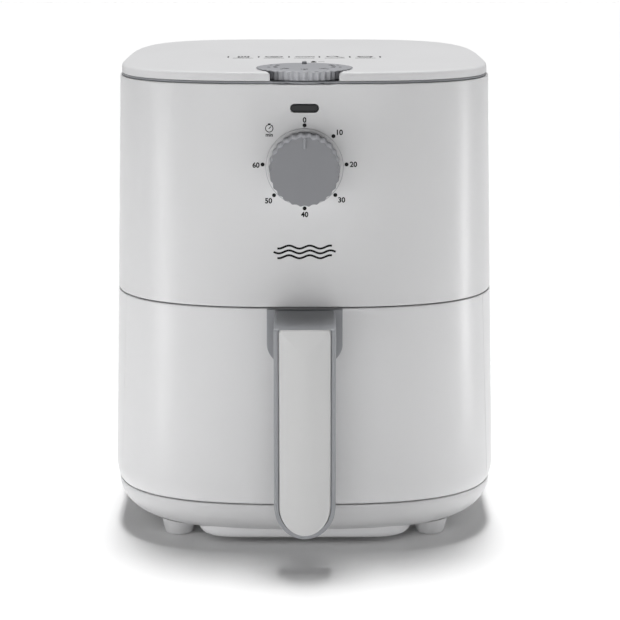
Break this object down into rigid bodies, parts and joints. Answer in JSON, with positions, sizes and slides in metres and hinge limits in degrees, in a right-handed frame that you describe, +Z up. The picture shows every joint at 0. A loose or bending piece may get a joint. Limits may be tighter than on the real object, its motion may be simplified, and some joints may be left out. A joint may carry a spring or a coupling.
{
  "type": "air fryer",
  "caption": "Compact basket air fryer with pull-out drawer and tray, front timer knob and a temperature dial let into the lid.",
  "frame": {"origin": "centre of the bounding box's footprint, at the height of the surface it stands on", "axes": "+X to the right seen from the front, -Y out of the front face where the drawer pulls out, +Z up"},
  "size_m": [0.2572, 0.3124, 0.3146],
  "materials": {
    "body_white": "satin moulded plastic, off-white",
    "trim_grey": "fine satin, mid grey",
    "knob_grey": "fine satin, mid grey",
    "lens_dark": "polished, near black",
    "phenolic_black": "matt",
    "nonstick_coating": "satin non-stick coating",
    "silicone_black": "matt silicone",
    "galvanised_steel": "rolled sheet",
    "aluminium": "rolled sheet",
    "element_sheath": "heat-darkened sheath",
    "brass": "drawn",
    "white_nylon": "moulded"
  },
  "bodies": {
    "housing": {"base_tub": "body_white", "bottom_cover": "body_white", "foot_front_left": "body_white", "foot_front_right": "body_white", "foot_rear_left": "body_white", "foot_rear_right": "body_white", "rear_shell": "body_white", "upper_housing": "body_white", "lid_cover": "body_white", "top_frame": "trim_grey", "dial_collar": "trim_grey", "exhaust_grille": "trim_grey", "cable_gland": "phenolic_black", "timer_bezel": "body_white", "timer_body": "galvanised_steel", "timer_bell": "galvanised_steel", "indicator_lens": "lens_dark", "indicator_lamp": "brass", "thermostat_body": "white_nylon", "bay_floor": "galvanised_steel", "bay_liner": "aluminium", "drawer_rail_left": "galvanised_steel", "drawer_rail_right": "galvanised_steel", "chamber_ceiling": "galvanised_steel", "microswitch_body": "phenolic_black", "heater_dome": "aluminium", "heating_element": "element_sheath", "element_guard": "galvanised_steel", "motor_plate": "galvanised_steel", "motor_body": "galvanised_steel", "motor_bracket": "galvanised_steel", "thermal_fuse": "brass", "terminal_block": "white_nylon", "exhaust_duct": "galvanised_steel"},
    "drawer": {"drawer_front": "body_white", "drawer_inner": "body_white", "handle_bracket": "trim_grey", "handle_grip": "trim_grey", "handle_cover": "body_white", "handle_screw_left": "galvanised_steel", "handle_screw_right": "galvanised_steel", "drawer_bowl": "nonstick_coating"},
    "tray": {"crisper_tray": "nonstick_coating", "tray_bumper_left": "silicone_black", "tray_bumper_right": "silicone_black", "tray_bumper_front": "silicone_black", "tray_bumper_rear": "silicone_black"},
    "timer": {"timer_knob": "knob_grey", "timer_spindle": "galvanised_steel"},
    "dial": {"temperature_dial": "trim_grey", "dial_spindle": "galvanised_steel"},
    "fans": {"motor_shaft": "galvanised_steel", "convection_fan": "aluminium", "cooling_fan": "white_nylon"},
    "plunger": {"switch_plunger": "white_nylon"}
  },
  "joints": [
    {"name": "drawer_slide", "type": "slide", "parent": "housing", "child": "drawer", "axis": [0, -1, 0], "range_m": [0, 0.17]},
    {"name": "tray_lift", "type": "slide", "parent": "drawer", "child": "tray", "axis": [0, 0, 1], "range_m": [0, 0.07]},
    {"name": "timer_turn", "type": "hinge", "parent": "housing", "child": "timer", "pos_m": [0, -0.112, 0.2529], "axis": [0, 1, 0], "range_deg": [0, 273]},
    {"name": "temperature_turn", "type": "hinge", "parent": "housing", "child": "dial", "pos_m": [0, -0.0852, 0.3117], "axis": [0, 0, 1], "range_deg": [-135, 135]},
    {"name": "fan_spin", "type": "hinge", "parent": "housing", "child": "fans", "pos_m": [0, 0.0088, 0.2], "axis": [0, 0, 1], "continuous": true},
    {"name": "switch_press", "type": "slide", "parent": "housing", "child": "plunger", "axis": [0, -1, 0], "range_m": [-0.0015, 0], "stiffness_N_per_m": 200, "springref_m": 0.001}
  ]
}
